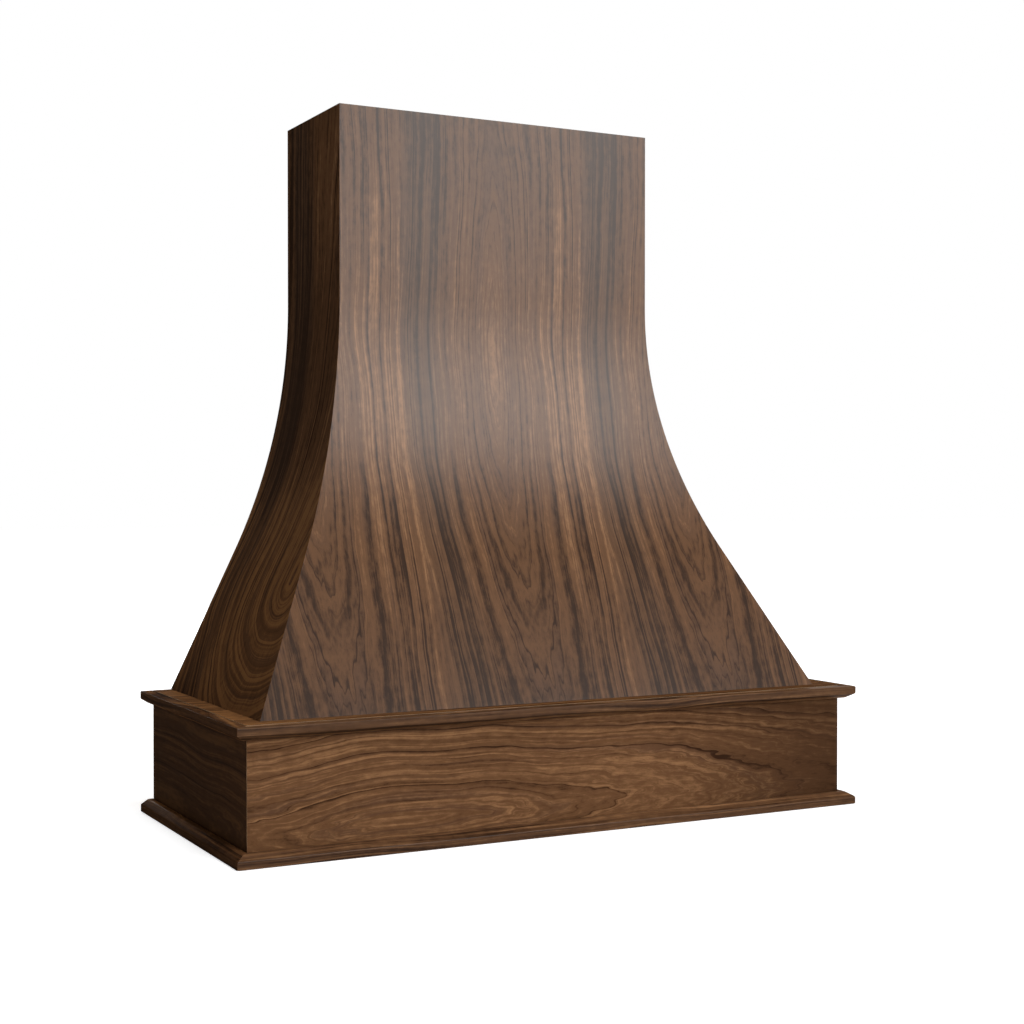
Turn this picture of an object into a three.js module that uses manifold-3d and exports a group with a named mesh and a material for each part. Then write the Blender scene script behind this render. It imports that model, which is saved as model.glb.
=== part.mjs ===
// A wooden range hood cover that hangs on a kitchen wall over a cooker. A one-piece chimney, plumb at
// the top and flared at the foot, stands on a shallow mitred box trimmed with two bands of moulding.
// Inside, notched ribs, stiles and cleats carry the bent plywood skins, and the middle stays open for
// an extractor insert and its duct.
// Millimetres, +Z up, +Y towards the wall, -Y towards the cook. The origin is level with the bottom
// rim, in the middle of the overall width and depth.
import * as THREE from 'three';
import { mergeVertices } from 'three/addons/utils/BufferGeometryUtils.js';
import Module from 'manifold-3d';

const wasm = await Module();
wasm.setup();

// ---------- driving sizes ----------

// The outside
const hoodHeight = 1168.4; // 46 in
const chimneyWidth = 584.2; // 23 in
const chimneyDepth = 241.3; // 9 1/2 in
const trimLength = 304.8; // 12 in of plumb chimney, which can be cut to suit the ceiling
const straightRun = 262; // length of the plain slope between the foot and the bend
const footInset = 30.5; // from the box's face in to the foot of the chimney
const boxWidth = 1066.8; // 42 in
const boxDepth = 482.6; // 19 in
const boxHeight = 203.2; // 8 in
const plainBand = 161.925; // 6 3/8 in of plain face between the two mouldings

// The mouldings: a square edge, a bevel and a narrow flat against the box
const mouldingReach = 22.225; // 7/8 in
const mouldingEdge = 12.7;
const mouldingFlat = 9.5;

// Plywood and timber
const skin = 12.7;
const board = 19.05;
const deckThickness = 12.7;
const deckBorder = 88.9;
const deckBackBorder = 50.8;
const deckCornerRadius = 25.4;
const ribThickness = 19.05;
const ribWidth = 38.1;
const ribTip = 12.7; // width at which a tapering rib is cut off
const stileWidth = 63.5;
const railHeight = 88.9;
const railDrop = 12.7; // from the lowest cut line of the chimney down to the upper rail
const footCleatWidth = 25.4;
const footCleatHeight = 25.4;
const linerCleatWidth = 38.1;
const linerCleatThickness = 19.05;
const linerRecess = 25.4; // from the rim up to the face that the insert's flange is screwed to
const cornerBlockSize = 38.1;
const glueBlockWidth = 25.4;
const glueBlockLength = 50.8;
const lowGlueBlockAt = 60; // heights of the flare's glue blocks above the deck
const highGlueBlockAt = 300;

// Countersunk wood screws
const shankRadius = 2.1;
const headRadius = 4.2;
const headHeight = 2.6;
const screwPoint = 6;
const driveSize = 2.8;
const driveDepth = 1.6;
const deckScrewLength = 31.8;
const cleatScrewLength = 50.8;
const screwClearance = 0.3;

// Joints and facets
const glueLine = 0.3;
const bendSteps = 24;
const cornerSteps = 6;
const screwSides = 12;

// ---------- what follows from them ----------

const bodyHeight = hoodHeight - boxHeight;
const bendHeight = bodyHeight - trimLength; // above the deck, where the bend begins
const mouldingHeight = (boxHeight - plainBand) / 2;
const deckUnderside = boxHeight - deckThickness;
const overallDepth = boxDepth + mouldingReach;
const mitreGap = glueLine / Math.SQRT2; // taken off the length at each mitre
const innerHalfWidth = boxWidth / 2 - board - glueLine; // room inside the box's boards
const innerDepth = boxDepth - board - glueLine;
const behindSkin = skin + glueLine;

// Half of the chimney's outline on one side: plumb, then an arc, then a slope that is tangent to it.
class Flare {
  constructor(spread) {
    this.radius = (spread ** 2 + bendHeight ** 2 - straightRun ** 2) / (2 * spread);
    const toFoot = Math.atan2(bendHeight, this.radius - spread);
    this.angle = toFoot - Math.atan2(straightRun, this.radius);
  }

  // How far the surface stands out from the plumb face at a height above the deck. A surface that
  // lies inset behind the outer one bends round the same centre.
  offset(height, inset = 0) {
    const drop = Math.max(bendHeight - height, 0);
    const radius = this.radius + inset;
    const arcDrop = radius * Math.sin(this.angle);
    if (drop < arcDrop) return this.radius - Math.sqrt(radius ** 2 - drop ** 2);
    return this.radius - radius * Math.cos(this.angle) + (drop - arcDrop) * Math.tan(this.angle);
  }

  // Height above the deck at which the inset surface's arc ends and its slope begins.
  arcFoot(inset) {
    return bendHeight - (this.radius + inset) * Math.sin(this.angle);
  }

  // Height above the deck at which the inset surface has moved out to an offset, on the arc.
  heightAt(offset, inset) {
    return bendHeight - Math.sqrt((this.radius + inset) ** 2 - (this.radius - offset) ** 2);
  }
}

const sideFlare = new Flare((boxWidth - chimneyWidth) / 2 - footInset);
const frontFlare = new Flare(boxDepth - chimneyDepth - footInset);

// Half width and depth of the chimney at a height above the deck, behind a given thickness.
const halfWidthAt = (height, inset) => chimneyWidth / 2 + sideFlare.offset(height, inset);
const depthAt = (height, inset) => chimneyDepth + frontFlare.offset(height, inset);

// Heights at which every curved piece is cut into flats, so that neighbours share their facets.
const deepestInset = behindSkin + Math.max(ribWidth, stileWidth) + glueLine;
const lowestBend = Math.min(sideFlare.arcFoot(deepestInset), frontFlare.arcFoot(deepestInset));
const bendHeights = Array.from(
  { length: bendSteps + 1 },
  (_, i) => lowestBend + ((bendHeight - lowestBend) * i) / bendSteps,
);

function heightsBetween(low, high) {
  const inside = (height) => height > low + glueLine && height < high - glueLine;
  return [low, ...bendHeights.filter(inside), high];
}

// ---------- materials ----------

const finish = (color, roughness, metalness = 0) =>
  new THREE.MeshStandardMaterial({ color, roughness, metalness });
const walnutVeneer = () => finish(0x6a4a34, 0.42);
const walnutSolid = () => finish(0x5c3f2c, 0.42);
const birchPly = () => finish(0xc9a878, 0.7);
const poplar = () => finish(0xbfa57c, 0.75);
const zinc = () => finish(0xb9b6ac, 0.35, 1);

// ---------- making and cutting solids ----------

function solidOf(geometry) {
  const bare = geometry.clone();
  bare.deleteAttribute('normal');
  bare.deleteAttribute('uv');
  const merged = mergeVertices(bare, 1e-3);
  return new wasm.Manifold(
    new wasm.Mesh({
      numProp: 3,
      vertProperties: new Float32Array(merged.attributes.position.array),
      triVerts: new Uint32Array(merged.index.array),
    }),
  );
}

function geometryOf(solid) {
  const mesh = solid.getMesh();
  const geometry = new THREE.BufferGeometry();
  geometry.setAttribute('position', new THREE.BufferAttribute(mesh.vertProperties, 3));
  geometry.setIndex(new THREE.BufferAttribute(mesh.triVerts, 1));
  geometry.computeVertexNormals();
  return geometry;
}

function cut(geometry, ...cutters) {
  const cutOne = (solid, cutter) => solid.subtract(solidOf(cutter));
  return geometryOf(cutters.reduce(cutOne, solidOf(geometry)));
}

function keepInside(geometry, space) {
  return geometryOf(solidOf(geometry).intersect(solidOf(space)));
}

// A closed solid through rings of points. Each ring turns anticlockwise as seen from the last ring.
function loft(rings) {
  const count = rings[0].length;
  const index = [];
  for (let ring = 0; ring + 1 < rings.length; ring++) {
    for (let i = 0; i < count; i++) {
      const a = ring * count + i;
      const b = ring * count + ((i + 1) % count);
      index.push(a, b, b + count, a, b + count, a + count);
    }
  }
  const last = (rings.length - 1) * count;
  for (let i = 1; i + 1 < count; i++) {
    index.push(0, i + 1, i, last, last + i, last + i + 1);
  }
  const positions = rings.flat().flatMap((point) => point.toArray());
  const geometry = new THREE.BufferGeometry();
  geometry.setAttribute('position', new THREE.Float32BufferAttribute(positions, 3));
  geometry.setIndex(index);
  geometry.computeVertexNormals();
  return geometry;
}

// A block between two corners, given as [x, y, z] in any order.
function block(corner, opposite) {
  const size = opposite.map((value, axis) => Math.abs(value - corner[axis]));
  const middle = opposite.map((value, axis) => (value + corner[axis]) / 2);
  return new THREE.BoxGeometry(...size).translate(...middle);
}

function extrude(points, depth) {
  const shape = new THREE.Shape(points.map(([across, up]) => new THREE.Vector2(across, up)));
  return new THREE.ExtrudeGeometry(shape, { depth, bevelEnabled: false });
}

// An outline drawn in X and Z, given a thickness from y = 0 towards the front.
function upright(points, thickness) {
  return extrude(points, thickness).rotateX(Math.PI / 2);
}

// An outline drawn in Y and Z, given a thickness from x = 0 towards +X.
function fin(points, thickness) {
  const turned = new THREE.Matrix4().makeBasis(
    new THREE.Vector3(0, 1, 0),
    new THREE.Vector3(0, 0, 1),
    new THREE.Vector3(1, 0, 0),
  );
  return extrude(points, thickness).applyMatrix4(turned);
}

// The outline of a strip between two edges, each given as a function of height.
function strip(edge, otherEdge, low, high) {
  const heights = heightsBetween(low, high);
  const up = heights.map((height) => [edge(height), height]);
  const down = heights.map((height) => [otherEdge(height), height]).reverse();
  return [...up, ...down];
}

function piece(name, geometry, material, x = 0, y = 0, z = 0) {
  const mesh = new THREE.Mesh(geometry, material);
  mesh.name = name;
  mesh.position.set(x, y, z);
  return mesh;
}

const sides = [
  { word: 'left', sign: -1 },
  { word: 'right', sign: 1 },
];

// ---------- screws ----------

// A screw with its head's face at z = 0 and its point below. Grown by a clearance and opened upwards,
// it is the screw's hole.
function screwBody(length, grow = 0, opening = 0) {
  const profile = [
    [0, -length - grow],
    [shankRadius + grow, -length + screwPoint],
    [shankRadius + grow, -headHeight],
    [headRadius + grow, 0],
  ];
  if (opening > 0) profile.push([headRadius + grow, opening]);
  profile.push([0, opening]);
  const points = profile.map(([radius, height]) => new THREE.Vector2(radius, height));
  return new THREE.LatheGeometry(points, screwSides).rotateX(Math.PI / 2);
}

// The turn that points a screw's head along an axis.
function headTowards(axis) {
  return new THREE.Quaternion().setFromUnitVectors(new THREE.Vector3(0, 0, 1), axis);
}

function screwHole({ length, at, axis }) {
  const hole = screwBody(length, screwClearance, headHeight);
  return hole.applyQuaternion(headTowards(axis)).translate(at.x, at.y, at.z);
}

function screwMesh({ name, length, at, axis }) {
  const half = driveSize / 2;
  const drive = block([-half, -half, -driveDepth], [half, half, driveDepth]);
  const mesh = piece(name, cut(screwBody(length), drive), zinc(), at.x, at.y, at.z);
  mesh.quaternion.copy(headTowards(axis));
  return mesh;
}

// ---------- the box ----------

// Runs of board or moulding along the box's faces. A profile's points are [out, up]: out from the
// face and up from the rim, clockwise as seen from the run's left end. The front corners are mitred.
function frontRun(profile) {
  const end = (sign) =>
    profile.map(([out, up]) => {
      const x = sign * (boxWidth / 2 + out - mitreGap);
      return new THREE.Vector3(x, -(boxDepth + out), up);
    });
  return loft([end(-1), end(1)]);
}

function sideRun(profile, sign) {
  const end = (y) =>
    profile.map(([out, up]) => new THREE.Vector3(sign * (boxWidth / 2 + out), y(out), up));
  const atFront = end((out) => -(boxDepth + out - mitreGap));
  const atWall = end(() => 0);
  return loft(sign < 0 ? [atWall, atFront] : [atFront, atWall]);
}

function boxBoards(cleatScrews) {
  const top = deckUnderside - glueLine;
  const profile = [
    [0, 0],
    [-board, 0],
    [-board, top],
    [0, top],
  ];
  const holes = cleatScrews.map(screwHole);
  const back = block([-innerHalfWidth, -board, 0], [innerHalfWidth, 0, top]);
  return [
    piece('box_front_board', cut(frontRun(profile), ...holes), walnutVeneer()),
    ...sides.map(({ word, sign }) => {
      const geometry = cut(sideRun(profile, sign), ...holes);
      return piece(`box_${word}_board`, geometry, walnutVeneer());
    }),
    piece('box_back_board', back, birchPly()),
  ];
}

// The way up from the box into the chimney, a hole with round corners.
function deckHole() {
  const side = boxWidth / 2 - deckBorder;
  const front = -(boxDepth - deckBorder);
  const back = -deckBackBorder;
  const r = deckCornerRadius;
  const quarter = Math.PI / 2;
  const hole = new THREE.Path();
  hole.moveTo(-side + r, front);
  hole.absarc(side - r, front + r, r, -quarter, 0);
  hole.absarc(side - r, back - r, r, 0, quarter);
  hole.absarc(-side + r, back - r, r, quarter, 2 * quarter);
  hole.absarc(-side + r, front + r, r, 2 * quarter, 3 * quarter);
  return hole;
}

// The deck closes the top of the box around that hole, and shows as a ledge around the chimney.
function deckPanel(deckScrews) {
  const half = boxWidth / 2;
  const shape = new THREE.Shape();
  shape.moveTo(-half, -boxDepth);
  shape.lineTo(half, -boxDepth);
  shape.lineTo(half, 0);
  shape.lineTo(-half, 0);
  shape.holes.push(deckHole());
  const panel = new THREE.ExtrudeGeometry(shape, {
    depth: deckThickness,
    bevelEnabled: false,
    curveSegments: cornerSteps,
  });
  const holes = deckScrews.map(screwHole);
  const geometry = cut(panel.translate(0, 0, -deckThickness), ...holes);
  return piece('deck', geometry, walnutVeneer(), 0, 0, boxHeight);
}

function mouldings() {
  const bottom = [
    [glueLine, 0],
    [glueLine, mouldingHeight],
    [mouldingFlat, mouldingHeight],
    [mouldingReach, mouldingEdge],
    [mouldingReach, 0],
  ];
  // The top moulding is the bottom one turned over.
  const top = bottom.map(([out, up]) => [out, boxHeight - up]).reverse();
  return Object.entries({ top, bottom }).flatMap(([level, profile]) => [
    piece(`${level}_moulding_front`, frontRun(profile), walnutSolid()),
    ...sides.map(({ word, sign }) =>
      piece(`${level}_moulding_${word}`, sideRun(profile, sign), walnutSolid()),
    ),
  ]);
}

// The insert's flange is screwed up into these four cleats, which run round inside the boards.
function linerCleats(cleatScrews) {
  const low = linerRecess;
  const high = linerRecess + linerCleatThickness;
  const holes = cleatScrews.map(screwHole);
  const frontBack = innerDepth - linerCleatWidth;
  const backFront = board + glueLine + linerCleatWidth;
  const front = block([-innerHalfWidth, -innerDepth, low], [innerHalfWidth, -frontBack, high]);
  const back = block([-innerHalfWidth, -backFront, low], [innerHalfWidth, -board - glueLine, high]);
  return [
    piece('liner_cleat_front', cut(front, ...holes), poplar()),
    piece('liner_cleat_back', back, poplar()),
    ...sides.map(({ word, sign }) => {
      const side = block(
        [sign * (innerHalfWidth - linerCleatWidth), -(frontBack - glueLine), low],
        [sign * innerHalfWidth, -(backFront + glueLine), high],
      );
      return piece(`liner_cleat_${word}`, cut(side, ...holes), poplar());
    }),
  ];
}

// Screws through the cleats' edges into the box's boards, heads to the inside.
function cleatScrewPlaces() {
  const height = linerRecess + linerCleatThickness / 2;
  const spacing = (2 * innerHalfWidth) / 3;
  const front = [-spacing, 0, spacing].map((x) => ({
    at: new THREE.Vector3(x, -(innerDepth - linerCleatWidth), height),
    axis: new THREE.Vector3(0, 1, 0),
  }));
  const near = board + linerCleatWidth + (innerDepth - board) / 6;
  const far = innerDepth - linerCleatWidth - (innerDepth - board) / 6;
  const flanks = sides.flatMap(({ sign }) =>
    [near, far].map((depth) => ({
      at: new THREE.Vector3(sign * (innerHalfWidth - linerCleatWidth), -depth, height),
      axis: new THREE.Vector3(-sign, 0, 0),
    })),
  );
  return [...front, ...flanks].map((place, i) => ({
    ...place,
    name: `cleat_screw_${i + 1}`,
    length: cleatScrewLength,
  }));
}

// Square blocks in the corners of the box, between the cleats and the deck.
function cornerBlocks() {
  const low = linerRecess + linerCleatThickness + glueLine;
  const high = deckUnderside - glueLine;
  const depths = {
    front: innerDepth - cornerBlockSize / 2,
    back: board + glueLine + cornerBlockSize / 2,
  };
  return Object.entries(depths).flatMap(([place, depth]) =>
    sides.map(({ word, sign }) => {
      const geometry = new THREE.BoxGeometry(cornerBlockSize, cornerBlockSize, high - low);
      const x = sign * (innerHalfWidth - cornerBlockSize / 2);
      return piece(`corner_block_${place}_${word}`, geometry, poplar(), x, -depth, (low + high) / 2);
    }),
  );
}

// ---------- the chimney, with heights measured from the deck ----------

// The three bent skins, mitred where they meet.
function skins() {
  const heights = heightsBetween(glueLine, bodyHeight);
  const front = heights.map((height) => {
    const corner = (sign, inset) => {
      const x = sign * (halfWidthAt(height, inset) - mitreGap);
      return new THREE.Vector3(x, -depthAt(height, inset), height);
    };
    return [corner(-1, 0), corner(1, 0), corner(1, skin), corner(-1, skin)];
  });
  const side = (sign) =>
    heights.map((height) => {
      const outer = sign * halfWidthAt(height, 0);
      const inner = sign * halfWidthAt(height, skin);
      const corners = [
        new THREE.Vector3(outer, -(depthAt(height, 0) - mitreGap), height),
        new THREE.Vector3(outer, 0, height),
        new THREE.Vector3(inner, 0, height),
        new THREE.Vector3(inner, -(depthAt(height, skin) - mitreGap), height),
      ];
      return sign < 0 ? corners.reverse() : corners;
    });
  return [
    piece('chimney_front_skin', loft(front), walnutVeneer()),
    ...sides.map(({ word, sign }) =>
      piece(`chimney_${word}_skin`, loft(side(sign)), walnutVeneer()),
    ),
  ];
}

// The room behind the skins. Pieces that meet two skins, or meet one at a slant, are cut to it.
function roomBehindSkins() {
  const rings = heightsBetween(0, bodyHeight).map((height) => {
    const x = halfWidthAt(height, behindSkin);
    const y = -depthAt(height, behindSkin);
    return [
      new THREE.Vector3(-x, y, height),
      new THREE.Vector3(x, y, height),
      new THREE.Vector3(x, 0, height),
      new THREE.Vector3(-x, 0, height),
    ];
  });
  return loft(rings);
}

// Stiles in the wall plane, which follow the side skins from the deck to the top.
function backStiles() {
  return sides.map(({ word, sign }) => {
    const outer = (height) => sign * halfWidthAt(height, behindSkin);
    const inner = (height) => sign * halfWidthAt(height, behindSkin + stileWidth);
    const geometry = upright(strip(outer, inner, glueLine, bodyHeight), ribThickness);
    return piece(`back_stile_${word}`, geometry, birchPly());
  });
}

const upperRailLow = bendHeight - railDrop - railHeight;

// Rails in the wall plane between the stiles, where the wall screws go.
function hangingRails() {
  const end = (height) => halfWidthAt(height, behindSkin + stileWidth + glueLine);
  const otherEnd = (height) => -end(height);
  return Object.entries({ upper: upperRailLow, lower: glueLine }).map(([level, low]) => {
    const geometry = upright(strip(end, otherEnd, low, low + railHeight), ribThickness);
    return piece(`hanging_rail_${level}`, geometry, birchPly());
  });
}

const cornerRibFace = chimneyWidth / 2 - behindSkin; // outer face of the ribs at the front corners
const cornerRibMiddle = cornerRibFace - ribThickness / 2;
const midRibMiddle = cornerRibMiddle / 2;
const footHalfWidth = halfWidthAt(0, behindSkin);
const footDepth = depthAt(0, behindSkin);
const jackRibMiddle = (cornerRibMiddle + footHalfWidth) / 2;
const frontCleatBack = footDepth - footCleatWidth;
const sideCleatInner = footHalfWidth - footCleatWidth;
const cleatTop = glueLine + footCleatHeight;

// Ribs behind the front skin, notched over the front foot cleat. The jack ribs end against the side
// skins and are cut to them, and the others run to the top.
function frontRibs(room) {
  const inner = (height) => -depthAt(height, behindSkin + ribWidth);
  const ribBehind = (inset) => {
    const outer = (height) => -depthAt(height, inset);
    return fin(strip(outer, inner, glueLine, bodyHeight), ribThickness);
  };
  const full = ribBehind(behindSkin);
  const oversize = ribBehind(0);
  const notch = block(
    [-boxWidth / 2, -boxDepth, 0],
    [boxWidth / 2, -(frontCleatBack - glueLine), cleatTop + glueLine],
  );
  const placed = (rib, middle) => rib.clone().translate(middle - ribThickness / 2, 0, 0);
  return sides.flatMap(({ word, sign }) => {
    const jack = keepInside(placed(oversize, sign * jackRibMiddle), room);
    return [
      piece(`front_mid_rib_${word}`, cut(placed(full, sign * midRibMiddle), notch), birchPly()),
      piece(`front_corner_rib_${word}`, cut(placed(full, sign * cornerRibMiddle), notch), birchPly()),
      piece(`front_jack_rib_${word}`, cut(jack, notch), birchPly()),
    ];
  });
}

// Ribs behind the side skins, notched over the side foot cleats. Each tapers towards the corner rib,
// so it is cut off where it is still ribTip wide.
function sideRibs() {
  const stop = cornerRibFace + glueLine;
  const tip = sideFlare.heightAt(stop + ribTip - chimneyWidth / 2, behindSkin);
  const front = chimneyDepth - behindSkin;
  return sides.map(({ word, sign }) => {
    const outer = (height) => sign * halfWidthAt(height, behindSkin);
    const inner = (height) => sign * Math.max(halfWidthAt(height, behindSkin + ribWidth), stop);
    const rib = upright(strip(outer, inner, glueLine, tip), ribThickness);
    const notch = block(
      [sign * (sideCleatInner - glueLine), -boxDepth, 0],
      [(sign * boxWidth) / 2, 0, cleatTop + glueLine],
    );
    const geometry = cut(rib.translate(0, ribThickness - front, 0), notch);
    return piece(`side_rib_${word}`, geometry, birchPly());
  });
}

// Short boards that tie the stiles to the corner ribs, level with the upper rail.
function stretchers() {
  const back = () => -(ribThickness + glueLine);
  const front = (height) => -depthAt(height, behindSkin + ribWidth + glueLine);
  const points = strip(front, back, upperRailLow, upperRailLow + railHeight);
  return sides.map(({ word, sign }) => {
    const x = sign * cornerRibMiddle - ribThickness / 2;
    return piece(`stretcher_${word}`, fin(points, ribThickness), birchPly(), x);
  });
}

// Bevelled cleats on the deck, which the feet of the skins are glued to.
function footCleats(room, deckScrews) {
  const holes = deckScrews.map(screwHole);
  const front = block(
    [-boxWidth / 2, -boxDepth, glueLine],
    [boxWidth / 2, -frontCleatBack, cleatTop],
  );
  return [
    piece('foot_cleat_front', cut(keepInside(front, room), ...holes), poplar()),
    ...sides.map(({ word, sign }) => {
      const side = block(
        [sign * sideCleatInner, -(frontCleatBack - glueLine), glueLine],
        [(sign * boxWidth) / 2, -(ribThickness + glueLine), cleatTop],
      );
      return piece(`foot_cleat_${word}`, cut(keepInside(side, room), ...holes), poplar());
    }),
  ];
}

// Screws up through the deck into the foot cleats, heads underneath.
function deckScrewPlaces() {
  const frontRow = frontCleatBack + footCleatWidth / 4;
  const sideRow = sideCleatInner + footCleatWidth / 4;
  const ribBack = chimneyDepth - behindSkin - ribThickness;
  const frontXs = [midRibMiddle / 2, (cornerRibMiddle + jackRibMiddle) / 2];
  const sideYs = [(ribThickness + ribBack) / 2, (ribBack + ribThickness + frontCleatBack) / 2];
  const places = sides.flatMap(({ sign }) => [
    ...frontXs.map((x) => [sign * x, -frontRow]),
    ...sideYs.map((y) => [sign * sideRow, -y]),
  ]);
  return places.map(([x, y], i) => ({
    name: `deck_screw_${i + 1}`,
    length: deckScrewLength,
    at: new THREE.Vector3(x, y, -deckThickness),
    axis: new THREE.Vector3(0, 0, -1),
  }));
}

// Blocks glued into the mitres of the flare.
function glueBlocks(room) {
  const levels = { low: lowGlueBlockAt, high: highGlueBlockAt };
  return Object.entries(levels).flatMap(([level, low]) =>
    sides.map(({ word, sign }) => {
      const high = low + glueBlockLength;
      const x = halfWidthAt(high, behindSkin) - glueBlockWidth;
      const y = depthAt(high, behindSkin) - glueBlockWidth;
      const rough = block([sign * x, -y, low], [(sign * boxWidth) / 2, -boxDepth, high]);
      return piece(`glue_block_${level}_${word}`, keepInside(rough, room), poplar());
    }),
  );
}

// ---------- the whole cover ----------

const deckScrews = deckScrewPlaces();
const cleatScrews = cleatScrewPlaces();
const room = roomBehindSkins();

const box = new THREE.Group();
box.add(
  ...boxBoards(cleatScrews),
  deckPanel(deckScrews),
  ...mouldings(),
  ...linerCleats(cleatScrews),
  ...cornerBlocks(),
  ...cleatScrews.map(screwMesh),
);

const chimney = new THREE.Group();
chimney.position.z = boxHeight;
chimney.add(
  ...skins(),
  ...backStiles(),
  ...hangingRails(),
  ...frontRibs(room),
  ...sideRibs(),
  ...stretchers(),
  ...footCleats(room, deckScrews),
  ...glueBlocks(room),
  ...deckScrews.map(screwMesh),
);

const cover = new THREE.Group();
cover.position.y = overallDepth / 2;
cover.add(box, chimney);

export default cover;
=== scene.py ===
"""Finishes a wooden range hood cover: walnut veneer on bent plywood skins over a ply and poplar frame.

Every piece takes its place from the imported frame, in metres, +Z up, with the wall on the +Y side.
Each vertex of a wooden piece carries its place in the wood, as a "grain" attribute: how far it lies
across the grain, along it, and below the face. Along the chimney's skins it counts from the top down.
"""
import math
from functools import cache
from typing import NamedTuple

import bmesh
import bpy
from mathutils import Matrix, Vector


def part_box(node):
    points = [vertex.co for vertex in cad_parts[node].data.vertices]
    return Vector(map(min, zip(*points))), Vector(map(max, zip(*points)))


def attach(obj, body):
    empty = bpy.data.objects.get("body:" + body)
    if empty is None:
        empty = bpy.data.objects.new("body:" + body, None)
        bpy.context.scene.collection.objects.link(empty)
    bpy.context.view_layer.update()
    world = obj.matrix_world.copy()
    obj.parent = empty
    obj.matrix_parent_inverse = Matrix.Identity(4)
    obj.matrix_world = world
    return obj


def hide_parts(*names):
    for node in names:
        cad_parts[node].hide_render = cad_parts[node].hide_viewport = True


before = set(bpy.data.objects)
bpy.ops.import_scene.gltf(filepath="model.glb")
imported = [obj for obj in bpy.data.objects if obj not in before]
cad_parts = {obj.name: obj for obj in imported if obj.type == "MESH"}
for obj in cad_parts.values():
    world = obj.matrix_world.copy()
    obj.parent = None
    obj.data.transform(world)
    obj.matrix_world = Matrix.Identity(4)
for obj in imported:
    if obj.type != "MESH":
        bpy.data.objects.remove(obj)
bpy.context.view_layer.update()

bl_info = {
    "name": "Range hood cover",
    "version": (1, 0, 0),
    "blender": (4, 5, 0),
    "location": "3D View > Sidebar > Hood cover",
    "description": "Finishes a walnut range hood cover around its fixed frame",
    "category": "Object",
}

BODY = "root"
SIDES = {"left": -1, "right": 1}
LEVELS = ("top", "bottom")
AXES = {"x": 0, "y": 1, "z": 2}

# Corners closer than this are one, and faces that meet at less than the flat angle are one face.
SAME_PLACE = 1e-5
FLAT_ANGLE = math.radians(0.2)
# An edge that turns by more than the first angle is eased, and by more than the second stays crisp.
EASED_ANGLE = math.radians(25)
CRISP_ANGLE = math.radians(50)
# A face of a board is veneered if this much of its normal or more points out of the veneered side.
OUTWARDS = 0.6

# How far apart in the wood like pieces are cut, in metres, so that no two show the same grain.
MOULDING_STEP = 0.07
FRAME_STEP = 0.31
SIDE_STEP = 0.17
CLEAT_STEP = 0.13

# Height in metres between the deepest and the highest grain of a finish.
WALNUT_RELIEF = 0.00012
BARE_RELIEF = 0.0001
ZINC_RELIEF = 0.00002


# ---------- sizes and colours that a user would change ----------


def length(name, description, default):
    return bpy.props.FloatProperty(
        name=name, description=description, default=default, subtype="DISTANCE", unit="LENGTH",
        precision=4,
    )


def turn(name, description, degrees):
    return bpy.props.FloatProperty(
        name=name, description=description, default=math.radians(degrees), min=-math.pi,
        max=math.pi, subtype="ANGLE", unit="ROTATION",
    )


def colour(name, description, default):
    return bpy.props.FloatVectorProperty(
        name=name, description=description, default=default, subtype="COLOR", size=3, min=0, max=1
    )


def amount(name, description, default):
    return bpy.props.FloatProperty(
        name=name, description=description, default=default, min=0, max=1, subtype="FACTOR"
    )


def power(name, description, default):
    return bpy.props.FloatProperty(
        name=name, description=description, default=default, min=0, unit="POWER"
    )


class HoodShape(bpy.types.PropertyGroup):
    """Sizes of the chimney's skins and of the eased edges."""

    chimney_width: length("Chimney width", "Width of the chimney where it is plumb", 0.5842)
    chimney_depth: length("Chimney depth", "Depth of the chimney where it is plumb", 0.2413)
    plumb_length: length("Plumb length", "Length of chimney that can be trimmed", 0.3048)
    slope_length: length("Slope length", "Length of the plain slope at the foot", 0.262)
    foot_inset: length("Foot inset", "From the box's face in to the foot", 0.0305)
    skin: length("Skin", "Thickness of the bent plywood", 0.0127)
    seam: length("Seam", "Hairline left at the mitres", 0.00005)
    lift: length("Lift", "Glue line under the foot of the skins", 0.0003)
    ease: length("Ease", "Width of the eased edges on boards", 0.0005)
    moulding_ease: length("Moulding ease", "Width of the eased edges on mouldings", 0.0016)
    screw_ease: length("Screw ease", "Width of the eased edges on screws", 0.00015)
    rows: bpy.props.IntProperty(
        name="Rows", description="Rows of faces down a skin", default=112, min=24
    )


class WalnutFinish(bpy.types.PropertyGroup):
    """Colours of the walnut and how its lacquer shines."""

    # Dark is also the colour that painted shade mixes the browns towards.
    dark: colour("Dark", "Latewood and dark streaks", (0.030, 0.0135, 0.0065))
    brown: colour("Brown", "Middle tone of the heartwood", (0.122, 0.0575, 0.0262))
    plum: colour("Plum", "Cooler streaks of the heartwood", (0.100, 0.049, 0.0258))
    light: colour("Light", "Light streaks", (0.262, 0.133, 0.061))
    warm_brown: colour("Warm brown", "Middle tone where the wood is warmer", (0.124, 0.054, 0.0215))
    golden: colour("Golden", "Light streaks where the wood is warmer", (0.275, 0.124, 0.044))
    stain: colour("Stain", "Grey-brown of the broad dark bands", (0.052, 0.034, 0.024))
    leaf: length("Leaf", "Width of a leaf of veneer on the chimney", 0.345)
    lacquer: amount("Lacquer", "Strength of the satin lacquer on the chimney's front", 0.5)
    rubbed_lacquer: amount("Rubbed lacquer", "Strength of the rubbed lacquer elsewhere", 0.02)
    lacquer_blur: amount("Lacquer blur", "Roughness of the satin lacquer", 0.285)


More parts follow.
